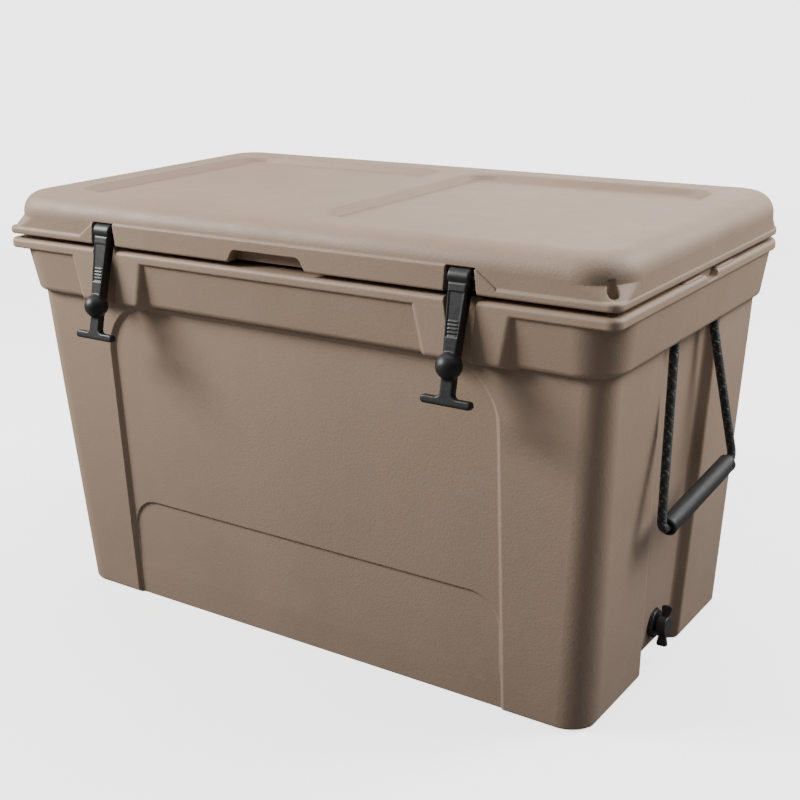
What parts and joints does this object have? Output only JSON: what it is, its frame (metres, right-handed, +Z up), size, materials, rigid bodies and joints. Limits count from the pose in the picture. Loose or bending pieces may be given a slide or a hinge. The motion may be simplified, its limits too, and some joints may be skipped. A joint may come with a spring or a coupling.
{
  "type": "cooler chest",
  "caption": "Rotomoulded insulated chest with a hinged lid, rubber T-latches, swinging rope handles with tube grips and a screw drain plug.",
  "frame": {"origin": "centre of the base rim at ground level, on the middle planes of the tub", "axes": "+X along the length towards the drain end, +Y towards the hinge side, +Z up; the latches are on the -Y face"},
  "size_m": [0.9288, 0.555, 0.568],
  "materials": {
    "shell": "warm tan rotomoulded polyethylene, fine orange-peel",
    "foam": "rigid polyurethane foam",
    "plug": "moulded plug",
    "gasket": "soft black rubber",
    "steel": "stainless",
    "latch_rubber": "black moulded rubber",
    "rope": "black braided rope with grey flecks",
    "grip": "textured black grip tube",
    "caps": "moulded caps",
    "drain": "black nylon",
    "feet": "black rubber"
  },
  "bodies": {
    "tub": {"body_shell": "shell", "body_foam": "foam", "body_foam_plug": "plug", "hinge_rod_left": "steel", "hinge_rod_right": "steel", "rope_knots_left": "rope", "rope_knots_right": "rope", "rope_caps_left": "caps", "rope_caps_right": "caps", "drain_fitting": "drain", "drain_gasket": "gasket", "drain_nut": "drain", "feet": "feet", "foot_screws": "steel"},
    "lid": {"lid_shell": "shell", "lid_foam": "foam", "lid_foam_plug": "plug", "lid_gasket": "gasket", "latch_pin_left": "steel", "latch_pin_right": "steel"},
    "latch_l": {"latch_left": "latch_rubber"},
    "latch_r": {"latch_right": "latch_rubber"},
    "handle_l": {"handle_rope_left": "rope"},
    "handle_r": {"handle_rope_right": "rope"},
    "grip_l": {"handle_grip_left": "grip"},
    "grip_r": {"handle_grip_right": "grip"},
    "drain_seal": {"drain_oring": "gasket"},
    "drain_knob": {"drain_plug": "drain"}
  },
  "joints": [
    {"name": "lid_hinge", "type": "hinge", "parent": "tub", "child": "lid", "pos_m": [0, 0.256, 0.51], "axis": [-1, 0, 0], "range_deg": [0, 100]},
    {"name": "latch_left_pivot", "type": "hinge", "parent": "lid", "child": "latch_l", "pos_m": [-0.266, -0.243, 0.53], "axis": [-1, 0, 0], "range_deg": [0, 75]},
    {"name": "latch_right_pivot", "type": "hinge", "parent": "lid", "child": "latch_r", "pos_m": [0.266, -0.243, 0.53], "axis": [-1, 0, 0], "range_deg": [0, 75]},
    {"name": "handle_left_swing", "type": "hinge", "parent": "tub", "child": "handle_l", "pos_m": [-0.432, 0, 0.428], "axis": [0, 1, 0], "range_deg": [-2, 85]},
    {"name": "handle_right_swing", "type": "hinge", "parent": "tub", "child": "handle_r", "pos_m": [0.432, 0, 0.428], "axis": [0, -1, 0], "range_deg": [-2, 85]},
    {"name": "grip_left_spin", "type": "hinge", "parent": "handle_l", "child": "grip_l", "pos_m": [-0.443, -0.086, 0.223], "axis": [-0.0596, 0.9841, 0.167], "continuous": true},
    {"name": "grip_right_spin", "type": "hinge", "parent": "handle_r", "child": "grip_r", "pos_m": [0.443, -0.086, 0.223], "axis": [0.0596, 0.9841, 0.167], "continuous": true},
    {"name": "drain_travel", "type": "slide", "parent": "tub", "child": "drain_seal", "axis": [1, 0, 0], "range_m": [0, 0.008]},
    {"name": "drain_turn", "type": "hinge", "parent": "drain_seal", "child": "drain_knob", "pos_m": [0.402, 0, 0.048], "axis": [1, 0, 0], "range_deg": [0, 1080]}
  ],
  "couplings": [
    {"joint": "drain_travel", "follows": "drain_turn", "m_per_rad": 0.00039789}
  ]
}
